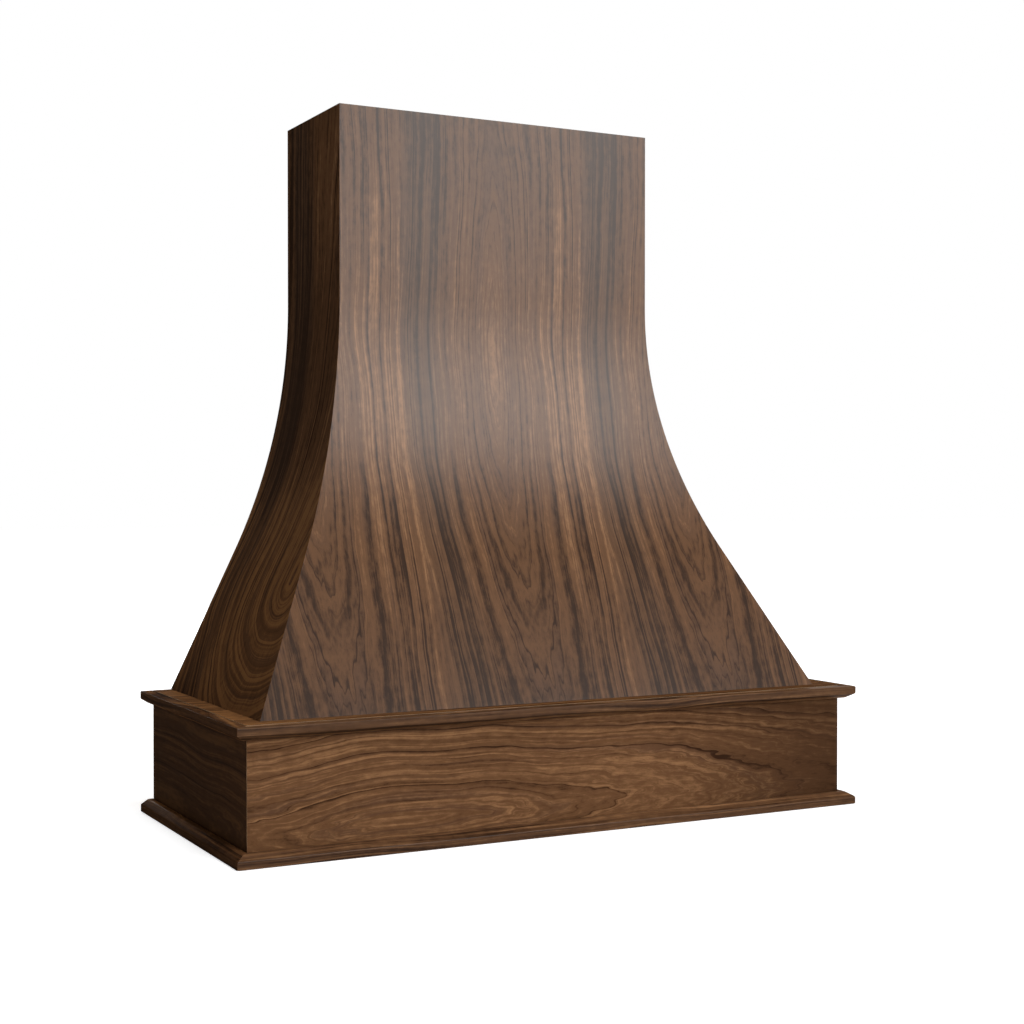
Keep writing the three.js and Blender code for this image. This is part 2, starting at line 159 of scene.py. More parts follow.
class InsideFinish(bpy.types.PropertyGroup):
    """Colours of the timber and the screws inside."""

    birch_pale: colour("Birch", "Face of the plywood", (0.60, 0.43, 0.26))
    birch_dark: colour("Birch end grain", "Cross plies seen from their ends", (0.33, 0.20, 0.105))
    poplar_pale: colour("Poplar", "Sapwood of the poplar", (0.58, 0.465, 0.275))
    poplar_dark: colour("Poplar heart", "Greenish heartwood streaks", (0.385, 0.32, 0.175))
    zinc_grey: colour("Zinc", "Zinc plate of the screws", (0.62, 0.60, 0.55))
    zinc_yellow: colour("Zinc cast", "Yellowish patches of the plate", (0.74, 0.70, 0.58))
    ply: length("Ply", "Thickness of one layer of plywood", 0.00141)


class Studio(bpy.types.PropertyGroup):
    """The camera, the lamps and the floor."""

    eye: bpy.props.FloatVectorProperty(
        name="Eye", description="Place of the camera", default=(-1.3223, -2.5479, 0.5433),
        subtype="TRANSLATION", unit="LENGTH",
    )
    yaw: turn("Yaw", "Camera's turn from +Y towards +X", 27.75)
    pitch: turn("Pitch", "Camera's tilt up", -0.79)
    lens: bpy.props.FloatProperty(
        name="Lens", description="Focal length in mm on a 36 mm sensor", default=59.35
    )
    softbox: power("Softbox", "Upper softbox, which the chimney's bend mirrors", 455.0)
    low_softbox: power("Low softbox", "Softbox under it, for the lower sheen", 190.0)
    front_key: power("Front key", "Lamp high in front", 200.0)
    front_fill: power("Front fill", "Lamp low in front", 20.0)
    back_light: power("Back light", "Lamp behind the part", 90.0)
    ambient: amount("Ambient", "Brightness of the room around", 0.19)
    floor: colour("Floor", "Colour of the floor", (0.80, 0.80, 0.80))


# ---------- shader trees ----------


class Graph:
    """Short ways to add nodes to a shader tree. A value is either a number or another node's socket."""

    def __init__(self, tree):
        self.tree = tree

    def put(self, socket, value):
        if isinstance(value, bpy.types.NodeSocket):
            self.tree.links.new(value, socket)
        else:
            socket.default_value = value

    def node(self, kind, values=None, **settings):
        made = self.tree.nodes.new("ShaderNode" + kind)
        for key, value in settings.items():
            setattr(made, key, value)
        for key, value in (values or {}).items():
            self.put(made.inputs[key], value)
        return made

    def math(self, operation, *values, clamp=False):
        made = self.node("Math", dict(enumerate(values)), operation=operation, use_clamp=clamp)
        return made.outputs[0]

    def add(self, *values):
        total = values[0]
        for value in values[1:]:
            total = self.math("ADD", total, value)
        return total

    def times(self, a, b):
        return self.math("MULTIPLY", a, b)

    def minus(self, a, b):
        return self.math("SUBTRACT", a, b)

    def line(self, value, slope, start):
        """A straight line: start, plus slope times the value."""
        return self.math("MULTIPLY_ADD", value, slope, start)

    def dot(self, a, b):
        return self.node("VectorMath", {0: a, 1: b}, operation="DOT_PRODUCT").outputs[1]

    def scaled(self, values, scales):
        """A vector of two or three values, each times its scale: how many features fit in a metre."""
        parts = [self.times(value, scale) for value, scale in zip(values, scales)]
        return self.node("CombineXYZ", dict(enumerate(parts))).outputs[0]

    def noise(self, vector, detail=0.0, roughness=0.5, dimensions="3D"):
        """Smooth noise whose features are about one unit across, from about -1 to 1."""
        made = self.node(
            "TexNoise",
            {"Vector": vector, "Scale": 1.0, "Detail": detail, "Roughness": roughness},
            noise_dimensions=dimensions,
        )
        return self.line(made.outputs[0], 2.0, -1.0)

    def each_its_own(self, number):
        """A number from 0 to 1 that differs for each whole number."""
        return self.node("TexWhiteNoise", {"W": number}, noise_dimensions="1D").outputs[0]

    def fade(self, value, start, end, low=0.0, high=1.0):
        """low at start to high at end, eased at both ends."""
        made = self.node(
            "MapRange", {0: value, 1: start, 2: end, 3: low, 4: high},
            interpolation_type="SMOOTHSTEP",
        )
        return made.outputs[0]

    def mix(self, factor, a, b):
        made = self.node("Mix", {0: factor}, data_type="RGBA")
        self.put(made.inputs[6], a)
        self.put(made.inputs[7], b)
        return made.outputs[2]

    def group(self, tree, values):
        made = self.node("Group")
        made.node_tree = tree
        for key, value in values.items():
            self.put(made.inputs[key], value)
        return made.outputs

    def finish(self, **outputs):
        """Sends values to the group's outputs."""
        end = self.tree.nodes.new("NodeGroupOutput")
        for key, value in outputs.items():
            self.put(end.inputs[key], value)


def start_group(name, inputs, outputs):
    """A new node group, its graph and its input sockets. An input is a float or a colour by its
    default, and an output by its word."""
    tree = bpy.data.node_groups.new(name, "ShaderNodeTree")
    for label, default in inputs.items():
        kind = "NodeSocketFloat" if isinstance(default, float) else "NodeSocketColor"
        socket = tree.interface.new_socket(label, in_out="INPUT", socket_type=kind)
        socket.default_value = default
    for label, kind in outputs.items():
        tree.interface.new_socket(label, in_out="OUTPUT", socket_type="NodeSocket" + kind)
    return tree, Graph(tree), tree.nodes.new("NodeGroupInput").outputs


def opaque(value):
    return (*value, 1.0)


@cache
def wood_rings():
    """Growth rings round a heart line: the tone and hue of the streaks, and the height they leave.

    Across and Depth are measured from the heart line, and Along runs with it. Right over the heart
    the rings lie flat and show as figure. Away from it they stand upright and show as fine lines.
    """
    tree, g, given = start_group(
        "Wood rings",
        {"Across": 0.0, "Along": 0.0, "Depth": 0.0, "Point": 0.0, "Ring": 0.009, "Ripple": 0.003,
         "Wander": 0.006, "Streaks": 0.56, "Streak scale": 1.0, "Lines": 0.62, "Seed": 0.0},
        {"Tone": "Float", "Hue": "Float", "Height": "Float"},
    )
    across, along, depth = given["Across"], given["Along"], given["Depth"]
    shifted = g.add(across, given["Seed"])

    # how far from the heart line, made uneven as a log is
    square = g.add(g.times(across, across), g.times(depth, depth))
    pointed = g.times(given["Point"], g.times(g.math("ABSOLUTE", across), depth))
    distance = g.math("SQRT", g.add(square, pointed))
    upright = g.math("DIVIDE", g.math("ABSOLUTE", across), distance, clamp=True)
    ripple = g.noise(g.scaled((shifted, along, depth), (75.0, 9.0, 30.0)), 2.0)
    wander = g.noise(g.scaled((shifted, along, depth), (9.0, 3.6, 8.0)), 1.0)
    radius = g.add(
        distance,
        g.times(g.times(ripple, g.line(upright, -0.72, 1.0)), given["Ripple"]),
        g.times(wander, given["Wander"]),
    )

    # the rings, each with its own strength, from pale earlywood to a dark line of latewood
    even = g.add(g.math("DIVIDE", radius, given["Ring"]), g.times(given["Seed"], 7.3))
    uneven = g.noise(g.scaled((even, given["Seed"]), (0.35, 1.0)), 1.0, 0.5, "2D")
    rings = g.add(even, g.times(uneven, 1.1))
    within = g.math("FRACT", rings)
    chance = g.each_its_own(g.math("FLOOR", rings))
    strength = g.times(g.line(g.times(chance, chance), 0.9, 0.1), g.line(upright, 0.4, 0.6))
    sharpness = g.line(upright, -4.0, 7.0)
    latewood = g.times(g.math("POWER", within, sharpness), g.fade(within, 1.0, 0.9))
    earlywood = g.math("POWER", g.minus(1.0, within), 3.0)

    # streaks that follow groups of rings, and flecks and pores in the face of the wood
    years = g.times(rings, given["Streak scale"])
    broad = g.noise(g.scaled((years, along), (0.4, 1.2)), 2.0, 0.6, "2D")
    narrow = g.noise(g.scaled((years, along), (1.3, 2.2)), 4.0, 0.72, "2D")
    elsewhere = g.add(along, 5.8333)
    hue = g.noise(g.scaled((years, elsewhere), (0.7, 1.2)), 2.0, 0.6, "2D")
    mottle = g.noise(g.scaled((shifted, along), (120.0, 50.0)), 2.0, 0.6, "2D")
    fibres = g.noise(g.scaled((shifted, along), (800.0, 14.0)), 2.0, 0.6, "2D")
    dashes = g.noise(g.scaled((shifted, along), (1500.0, 190.0)), 1.0, 0.5, "2D")
    pores = g.fade(dashes, 0.22, 0.5)

    middle_tone = 0.57
    tone = g.add(
        middle_tone,
        g.times(broad, g.line(upright, 0.22, 0.16)),
        g.times(narrow, given["Streaks"]),
        g.times(g.times(latewood, strength), g.times(given["Lines"], -1.0)),
        g.times(g.times(earlywood, strength), 0.12),
        g.times(mottle, 0.22),
        g.times(fibres, 0.15),
        g.times(pores, -0.10),
    )
    height = g.add(g.times(fibres, 0.25), g.times(pores, -1.0), g.times(latewood, 0.3))
    g.finish(Tone=tone, Hue=hue, Height=height)
    return tree


@cache
def veneer_leaf():
    """Lays leaves of veneer side by side, each cut past the heart of its log, with a dark band.

    Heart is where the first leaf's heart line runs, and Slip how far each next leaf has slipped. The
    cut comes nearest to the heart at Crown, and leaves it by Slope up and Slope down on either side.
    """
    tree, g, given = start_group(
        "Veneer leaf",
        {"Across": 0.0, "Along": 0.0, "Leaf": 0.345, "Heart": 0.0, "Crown": 0.45,
         "Slope up": 0.13, "Slope down": 0.13, "Nearest": 0.012, "Slip": 0.004, "Sway": 0.02,
         "Spread": 10.0, "Jag": 0.04, "Jag pitch": 80.0, "Band": -0.125, "Band width": 0.05},
        {"Across": "Float", "Along": "Float", "Depth": "Float", "Band": "Float"},
    )
    sway = g.noise(g.scaled((given["Along"], given["Heart"]), (3.0, 1.0)), 1.0, 0.5, "2D")
    from_heart = g.add(g.minus(given["Across"], given["Heart"]), g.times(sway, given["Sway"]))
    number = g.math("ROUND", g.math("DIVIDE", from_heart, given["Leaf"]))
    across = g.minus(from_heart, g.times(number, given["Leaf"]))
    along = g.add(given["Along"], g.times(number, given["Slip"]))

    # how deep in the log the cut runs, jagged as the crowns of such figure are
    jags = g.noise(g.scaled((across, along), (given["Jag pitch"], 17.0)), 1.0, 0.6, "2D")
    past_crown = g.minus(g.add(along, g.times(jags, given["Jag"])), given["Crown"])
    is_past = g.math("GREATER_THAN", past_crown, 0.0)
    change = g.minus(given["Slope down"], given["Slope up"])
    slope = g.add(given["Slope up"], g.times(is_past, change))
    spread = g.math("EXPONENT", g.math("DIVIDE", g.math("ABSOLUTE", across), given["Spread"]))
    rise = g.math("DIVIDE", g.times(past_crown, slope), spread)
    nearest = given["Nearest"]
    depth = g.math("SQRT", g.add(g.times(rise, rise), g.times(nearest, nearest)))

    # the dark band, with a wandering edge, which is half as strong towards the foot
    edge = g.noise(g.scaled((along, number), (6.0, 1.0)), 2.0, 0.6, "2D")
    off_band = g.math("ABSOLUTE", g.minus(g.add(across, g.times(edge, 0.006)), given["Band"]))
    band = g.fade(g.math("DIVIDE", off_band, given["Band width"]), 0.25, 1.0, 1.0, 0.0)
    fading = g.fade(given["Along"], 0.45, 0.80, 1.0, 0.5)
    g.finish(Across=across, Along=along, Depth=depth, Band=g.times(band, fading))
    return tree


@cache
def walnut_colours():
    """Turns the tone of the rings into walnut's browns."""
    finish = bpy.context.scene.walnut_finish
    tree, g, given = start_group(
        "Walnut colours",
        {"Tone": 0.5, "Hue": 0.0, "Band": 0.0, "Shade": 0.0, "Across": 0.0, "Along": 0.0,
         "Dark": opaque(finish.dark), "Brown": opaque(finish.brown), "Plum": opaque(finish.plum),
         "Light": opaque(finish.light), "Stain": opaque(finish.stain)},
        {"Color": "Color", "Roughness": "Float"},
    )
    patches = g.noise(g.scaled((given["Across"], given["Along"]), (14.0, 3.0)), 2.0)
    tone = g.add(given["Tone"], g.times(patches, 0.08), g.times(given["Band"], -0.18))
    heart = g.mix(g.fade(given["Hue"], 0.0, 0.55), given["Brown"], given["Plum"])
    low = g.mix(g.fade(tone, 0.0, 0.5), given["Dark"], heart)
    full = g.mix(g.fade(tone, 0.5, 1.0), low, given["Light"])
    banded = g.mix(g.times(given["Band"], 0.36), full, given["Stain"])
    # Painted shade: the Shade input mixes the colour towards Dark.
    shaded = g.mix(given["Shade"], banded, given["Dark"])
    g.finish(Color=shaded, Roughness=g.line(tone, -0.12, 0.56))
    return tree


@cache
def ply_layers():
    """The layers of plywood: flamed birch on a face, and dark cross plies at a cut edge."""
    inside = bpy.context.scene.inside_finish
    tree, g, given = start_group(
        "Ply layers",
        {"Across": 0.0, "Along": 0.0, "Depth": 0.0, "Ply": inside.ply,
         "Face": opaque(inside.birch_pale), "End": opaque(inside.birch_dark)},
        {"Color": "Color", "Roughness": "Float", "Height": "Float"},
    )
    across, along, depth = given["Across"], given["Along"], given["Depth"]
    waves = g.noise(g.scaled((across, along), (9.0, 9.0)), 1.0)
    layers = g.add(g.math("DIVIDE", depth, given["Ply"]), g.times(waves, 0.08))
    number = g.math("FLOOR", layers)
    is_cross = g.math("MODULO", number, 2.0)
    own = g.each_its_own(number)
    glue = g.fade(g.math("ABSOLUTE", g.minus(g.math("FRACT", layers), 0.5)), 0.43, 0.5)
    speckle = g.noise(g.scaled((across, along, depth), (260.0, 260.0, 900.0)), 2.0, 0.6)
    rays = g.noise(g.scaled((across, along, number), (30.0, 2.0, 1.0)), 3.0, 0.6)
    fine = g.noise(g.scaled((across, along), (700.0, 18.0)), 1.0, 0.5, "2D")
    flames = g.noise(g.scaled((across, along), (22.0, 2.4)), 3.0, 0.55, "2D")
    figure = g.noise(g.scaled((flames, number), (5.0, 1.0)), 2.0, 0.6, "2D")
    least_dark = 0.06
    dark = g.add(
        least_dark,
        g.times(figure, 0.16),
        g.times(is_cross, g.line(own, 0.35, 0.55)),
        g.times(glue, 0.30),
        g.times(speckle, 0.10),
        g.times(rays, 0.13),
        g.times(fine, 0.07),
    )
    mixed = g.mix(g.math("MAXIMUM", dark, 0.0, clamp=True), given["Face"], given["End"])
    height = g.add(fine, g.times(is_cross, -0.6))
    g.finish(Color=mixed, Roughness=g.line(is_cross, 0.12, 0.68), Height=height)
    return tree


def grain_place(g):
    """Across, along and depth in the wood, in metres."""
    attribute = g.node("Attribute", attribute_name="grain")
    return g.node("SeparateXYZ", {0: attribute.outputs["Vector"]}).outputs


def start_material(name):
    material = bpy.data.materials.new(name)
    material.use_nodes = True
    material.node_tree.nodes.clear()
    return material, Graph(material.node_tree)


def close_material(g, height, relief, values):
    """Ends a material in a Principled BSDF with a bump of the given relief in metres."""
    bump = g.node("Bump", {"Strength": 1.0, "Distance": relief, "Height": height})
    shader = g.node("BsdfPrincipled", {"Normal": bump.outputs[0], **values})
    g.node("OutputMaterial", {0: shader.outputs[0]})


def close_walnut(g, rings, place, band, coat, shade, paler, golden):
    """Walnut's browns under a satin lacquer. Shade mixes them towards the dark colour as painted shade,
    which on the box's front is partly the wood's own darker tone. Paler is added to their tone, and
    golden is how far they turn towards the warmer browns."""
    finish = bpy.context.scene.walnut_finish
    colours = g.group(
        walnut_colours(),
        {"Tone": g.add(rings["Tone"], paler), "Hue": rings["Hue"], "Band": band, "Shade": shade,
         "Across": place[0], "Along": place[1],
         "Brown": g.mix(golden, opaque(finish.brown), opaque(finish.warm_brown)),
         "Light": g.mix(golden, opaque(finish.light), opaque(finish.golden))},
    )
    close_material(g, rings["Height"], WALNUT_RELIEF, {
        "Base Color": colours["Color"],
        "Roughness": colours["Roughness"],
        "Specular IOR Level": 0.0,
        "Coat Weight": coat,
        "Coat Roughness": finish.lacquer_blur,
    })


# Over the heart of the log streaks keep a share of their strength. It holds up to the first distance
# from the heart line, and they are whole from the second on.
NEAR_HEART = (0.03, 0.11)


class Run(NamedTuple):
    """A value that eases from one to another between two places, in metres."""

    start: float
    end: float
    before: float
    after: float


def along_grain(g, place, value):
    """A number that holds all over, or the sum of a list of runs along the grain."""
    if isinstance(value, float):
        return value
    return g.add(*(g.fade(place[1], *run) for run in value))


def veneer(
    name, leaf, rings, coat=None, shade=0.0, paler=0.0, golden=0.0, streaks=None, over_heart=1.0
):
    """A walnut veneer, from the values of its leaf and of its rings, and its coat of lacquer.

    Shade, paler and golden are as in close_walnut, each a number or a list of runs. Streaks is a list
    of runs too: how strong they are, instead of one strength for all in the values of the rings.
    """
    material, g = start_material(name)
    place = grain_place(g)
    cut = g.group(veneer_leaf(), {"Across": place[0], "Along": place[1], **leaf})
    figure = {"Across": cut["Across"], "Along": cut["Along"], "Depth": cut["Depth"], **rings}
    if streaks:
        from_heart = g.math("ABSOLUTE", cut["Across"])
        share = g.fade(from_heart, *NEAR_HEART, over_heart, 1.0)
        figure["Streaks"] = g.times(along_grain(g, place, streaks), share)
    grown = g.group(wood_rings(), figure)
    if coat is None:
        coat = bpy.context.scene.walnut_finish.rubbed_lacquer
    close_walnut(
        g, grown, place, cut["Band"], coat=coat, shade=along_grain(g, place, shade),
        paler=along_grain(g, place, paler), golden=along_grain(g, place, golden),
    )
    return material


@cache
def chimney_front_veneer():
    """Three leaves, straight at the top and with pointed figure low down, under the full lacquer."""
    finish = bpy.context.scene.walnut_finish
    return veneer(
        "chimney_front_veneer",
        {"Leaf": finish.leaf, "Heart": -0.015, "Crown": 0.45, "Slope up": 0.09,
         "Slope down": 0.135, "Nearest": 0.007, "Spread": 0.14, "Jag": 0.030, "Jag pitch": 72.0,
         "Band": -0.133, "Band width": 0.06},
        {"Point": 0.9, "Ring": 0.0060, "Ripple": 0.0038, "Wander": 0.010, "Streak scale": 0.57,
         "Lines": 0.95, "Seed": 11.3},
        coat=finish.lacquer,
        # Darker at the top and towards the foot, and paler across the bend.
        paler=[Run(0.0, 0.42, -0.20, 0.09), Run(0.46, 0.88, 0.0, -0.29)],
        streaks=[Run(0.35, 0.75, 0.66, 0.90)],
        over_heart=0.52,
    )


@cache
def chimney_side_veneer():
    """One leaf to a side, straight at the top, with a golden loop of figure at the foot."""
    return veneer(
        "chimney_side_veneer",
        {"Leaf": 0.9, "Heart": 0.33, "Crown": 0.79, "Slope up": 0.2, "Slope down": 1.0,
         "Nearest": 0.006, "Jag": 0.0, "Band": -0.26, "Band width": 0.07},
        {"Ring": 0.0120, "Ripple": 0.0008, "Wander": 0.014, "Lines": 0.9, "Seed": 4.1},
        # Painted shade darkens the side from a little below its top down to the foot.
        shade=[Run(0.12, 0.40, 0.0, 0.42)],
        # The foot is paler, partly its own warmer figure and partly painted light where the slope faces
        # up.
        paler=[Run(0.56, 0.70, -0.15, 0.12)],
        golden=[Run(0.40, 0.80, 0.1, 1.0)],
        streaks=[Run(0.3, 0.7, 0.8, 1.2)],
    )


@cache
def box_front_veneer():
    """A wavy crown cut that runs along the box and darkens towards its right end, partly in its own
    tone and partly as painted shade.
    """
    return veneer(
        "box_front_veneer",
        {"Leaf": 0.9, "Heart": 0.042, "Crown": -0.30, "Slope up": 0.17, "Slope down": 0.13,
         "Nearest": 0.010, "Jag": 0.048, "Jag pitch": 70.0, "Band": 0.30},
        {"Point": 0.4, "Ring": 0.0078, "Ripple": 0.0025, "Wander": 0.014, "Streaks": 0.68,
         "Lines": 1.15, "Seed": 5.1},
        # Darker towards the right end: partly the wood's own tone, partly painted shade.
        shade=[Run(0.12, 0.56, 0.0, 0.68)],
        paler=0.02,
    )


@cache
def box_side_veneer():
    """Straight warm grain, with painted shade that makes it much darker than the front."""
    return veneer(
        "box_side_veneer",
        {"Leaf": 0.9, "Heart": 0.03, "Crown": 0.10, "Slope up": 0.12, "Slope down": 0.10,
         "Nearest": 0.02, "Band": 0.30},
        {"Ring": 0.0125, "Ripple": 0.003, "Wander": 0.008, "Streaks": 1.1, "Lines": 0.8,
         "Seed": 6.3},
        # Painted shade: the sides are mixed far towards the dark colour all over.
        shade=0.80,
        golden=1.0,
    )


@cache
def deck_veneer():
    """Straight grain along the deck, which shows as a ledge, with painted light that makes its left
    end paler.
    """
    return veneer(
        "deck_veneer",
        {"Leaf": 0.9, "Heart": -0.1, "Crown": 0.2, "Slope up": 0.06, "Slope down": 0.05,
         "Nearest": 0.05, "Band": 0.40},
        {"Ring": 0.010, "Ripple": 0.002, "Wander": 0.008, "Streaks": 0.9, "Seed": 8.8},
        # Painted light: the left end of the ledge, which the chimney shades from the softboxes, is made
        # paler.
        paler=[Run(-0.45, -0.1, 0.13, 0.0)],
        golden=1.0,
    )


def solid_walnut(name, polish, painted_face_shade, painted_inner_shade, golden):
    """Walnut with painted shade: its outer faces are darkened by one amount and the faces that lie
    deeper, such as its top, by another. It has a share of the lacquer."""
    material, g = start_material(name)
    place = grain_place(g)
    rings = g.group(wood_rings(), {
        "Across": g.add(place[0], 0.05), "Along": place[1], "Depth": g.add(place[2], 0.02),
        "Ring": 0.0062, "Ripple": 0.0012, "Wander": 0.010, "Streaks": 1.2, "Lines": 1.0,
        "Seed": 3.3,
    })
    lacquer = bpy.context.scene.walnut_finish.lacquer
    # Painted shade: darker on the outer faces, within the first millimetres below them, than deeper in.
    close_walnut(
        g, rings, place, band=0.0, coat=polish * lacquer,
        shade=g.fade(place[2], 0.001, 0.009, painted_face_shade, painted_inner_shade), paler=-0.06, golden=golden,
    )
    return material


@cache
def front_moulding_walnut():
    return solid_walnut(
        "front_moulding_walnut", polish=0.42, painted_face_shade=0.42, painted_inner_shade=0.0, golden=0.0
    )


# The side mouldings' outer faces carry more painted shade than the front's.
@cache
def side_moulding_walnut():
    return solid_walnut(
        "side_moulding_walnut", polish=0.04, painted_face_shade=0.68, painted_inner_shade=0.22, golden=1.0
    )


@cache
def birch_ply():
    material, g = start_material("birch_ply")
    place = grain_place(g)
    layers = g.group(ply_layers(), {"Across": place[0], "Along": place[1], "Depth": place[2]})
    close_material(g, layers["Height"], BARE_RELIEF, {
        "Base Color": layers["Color"],
        "Roughness": layers["Roughness"],
        "Specular IOR Level": 0.3,
    })
    return material


@cache
def poplar():
    inside = bpy.context.scene.inside_finish
    material, g = start_material("poplar")
    place = grain_place(g)
    rings = g.group(wood_rings(), {
        "Across": g.add(place[0], 0.09), "Along": place[1], "Depth": g.add(place[2], 0.03),
        "Ring": 0.006, "Ripple": 0.0008, "Wander": 0.006, "Seed": 5.2,
    })
    tone = g.fade(rings["Tone"], 0.15, 0.75)
    close_material(g, rings["Height"], BARE_RELIEF, {
        "Base Color": g.mix(tone, opaque(inside.poplar_dark), opaque(inside.poplar_pale)),
        "Roughness": g.line(tone, -0.08, 0.78),
        "Specular IOR Level": 0.3,
    })
    return material


@cache
def zinc():
    """Zinc plate with faint turning marks and a yellowish cast in patches."""
    inside = bpy.context.scene.inside_finish
    material, g = start_material("zinc")
    place = g.node("TexCoord").outputs["Object"]
    patches_per_metre, marks_per_metre = 260.0, 2400.0
    large = g.node("VectorMath", {0: place, 3: patches_per_metre}, operation="SCALE").outputs[0]
    small = g.node("VectorMath", {0: place, 3: marks_per_metre}, operation="SCALE").outputs[0]
    patches = g.fade(g.noise(large, 2.0), -0.6, 0.6)
    marks = g.noise(small, 2.0, 0.6)
    close_material(g, marks, ZINC_RELIEF, {
        "Base Color": g.mix(patches, opaque(inside.zinc_grey), opaque(inside.zinc_yellow)),
        "Metallic": 1.0,
        "Roughness": g.line(marks, 0.08, 0.34),
    })
    return material


# ---------- making pieces ----------


def add_piece(name, work, materials, node):
    """Makes a mesh object of a bmesh, on the body, in the place of its CAD node."""
    for edge in work.edges:
        edge.smooth = edge.calc_face_angle(0.0) < CRISP_ANGLE
    for face in work.faces:
        face.smooth = True
    mesh = bpy.data.meshes.new(name)
    work.to_mesh(mesh)
    work.free()
    for material in materials:
        mesh.materials.append(material)
    piece = bpy.data.objects.new(name, mesh)
    bpy.context.scene.collection.objects.link(piece)
    flat = piece.modifiers.new("Flat faces stay flat", "WEIGHTED_NORMAL")
    flat.keep_sharp = True
    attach(piece, BODY)
    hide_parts(node)


def ease_edges(work, width):
    """Rounds every sharp edge a little, as sandpaper does."""
    sharp = [edge for edge in work.edges if edge.calc_face_angle(0.0) > EASED_ANGLE]
    bmesh.ops.bevel(
        work, geom=sharp, offset=width, segments=2, profile=0.5, affect="EDGES", material=-1,
        clamp_overlap=True,
    )


def merged_copy(node):
    """A CAD node's mesh with its corners joined and its flat faces whole."""
    work = bmesh.new()
    work.from_mesh(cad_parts[node].data)
    bmesh.ops.remove_doubles(work, verts=work.verts, dist=SAME_PLACE)
    bmesh.ops.dissolve_limit(work, angle_limit=FLAT_ANGLE, verts=work.verts, edges=work.edges)
    return work


def facing(word):
    """The direction of a word such as -y."""
    direction = Vector((0, 0, 0))
    direction[AXES[word[1]]] = -1.0 if word[0] == "-" else 1.0
    return direction


def ply_depth(depth, thickness):
    """Depth counted in whole plies. Their number is odd, and both faces lie well inside a ply."""
    ply = bpy.context.scene.inside_finish.ply
    margin = 0.2
    count = 2 * round((thickness / ply - 1) / 2) + 1
    return ply * (margin + (count - 2 * margin) * depth / thickness)


def lay_grain(work, node, along, face, shift=0.0):
    """Gives every vertex its place in the wood: across the grain, along it, and below the face."""
    low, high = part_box(node)
    depth_axis = AXES[face[1]]
    along_axis = AXES[along]
    across_axis = 3 - depth_axis - along_axis
    thickness = high[depth_axis] - low[depth_axis]
    layer = work.verts.layers.float_vector.new("grain")
    for vert in work.verts:
        if face[0] == "-":
            depth = vert.co[depth_axis] - low[depth_axis]
        else:
            depth = high[depth_axis] - vert.co[depth_axis]
        depth = ply_depth(depth, thickness)
        vert[layer] = Vector((vert.co[across_axis] + shift, vert.co[along_axis], depth))


def make_board(node, along, face, core, veneer_on_face=None, ease=None, shift=0.0):
    """A straight piece: its CAD shape with eased edges, and veneer on one face if it has any."""
    shape = bpy.context.scene.hood_shape
    work = merged_copy(node)
    ease_edges(work, ease or shape.ease)
    lay_grain(work, node, along, face, shift)
    materials = [core]
    if veneer_on_face:
        materials.append(veneer_on_face)
        outwards = facing(face)
        for found in work.faces:
            found.material_index = int(found.normal.dot(outwards) > OUTWARDS)
    add_piece(f"finished_{node}", work, materials, node)


# ---------- the chimney's bent skins ----------


class Flare:
    """Half of the chimney's outline on one side: plumb, then an arc, then a slope tangent to it."""

    def __init__(self, shape, spread, top):
        self.plumb = shape.plumb_length
        self.bend = top - self.plumb
        self.radius = (spread**2 + self.bend**2 - shape.slope_length**2) / (2 * spread)
        self.angle = math.atan2(self.bend, self.radius - spread) - math.atan2(
            shape.slope_length, self.radius
        )
        self.arc = self.radius * self.angle

    def out(self, height, inset):
        """How far a surface, inset behind the outer one, stands out from the plumb face."""
        drop = max(self.bend - height, 0.0)
        radius = self.radius + inset
        arc_drop = radius * math.sin(self.angle)
        if drop < arc_drop:
            return self.radius - math.sqrt(radius**2 - drop**2)
        return self.radius - radius * math.cos(self.angle) + (drop - arc_drop) * math.tan(self.angle)

    def place(self, along, inset):
        """Offset and height of the point that lies inset behind a length along the outer face."""
        on_arc = min(max(along - self.plumb, 0.0), self.arc)
        on_slope = max(along - self.plumb - self.arc, 0.0)
        tilt = on_arc / self.radius
        offset = self.radius * (1 - math.cos(tilt)) + on_slope * math.sin(tilt)
        height = self.bend - self.radius * math.sin(tilt) - on_slope * math.cos(tilt)
        height += max(self.plumb - along, 0.0)
        return offset - inset * math.cos(tilt), height - inset * math.sin(tilt)

    def full_length(self, inset, foot):
        """Length along the outer face at which the inset surface comes down to the foot."""
        drop = self.bend - foot - (self.radius + inset) * math.sin(self.angle)
        return self.plumb + self.arc + drop / math.cos(self.angle)


class Chimney:
    """The chimney's sizes in the row frame."""

    def __init__(self):
        shape = bpy.context.scene.hood_shape
        low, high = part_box("deck")
        self.deck = high.z
        self.wall = high.y
        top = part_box("chimney_front_skin")[1].z - self.deck
        self.half_width = shape.chimney_width / 2
        self.depth = shape.chimney_depth
        self.side = Flare(shape, high.x - self.half_width - shape.foot_inset, top)
        self.front = Flare(shape, high.y - low.y - self.depth - shape.foot_inset, top)
        self.shape = shape

    def half_width_at(self, height, inset):
        return self.half_width + self.side.out(height, inset) - self.shape.seam

    def depth_at(self, height, inset):
        return self.depth + self.front.out(height, inset) - self.shape.seam


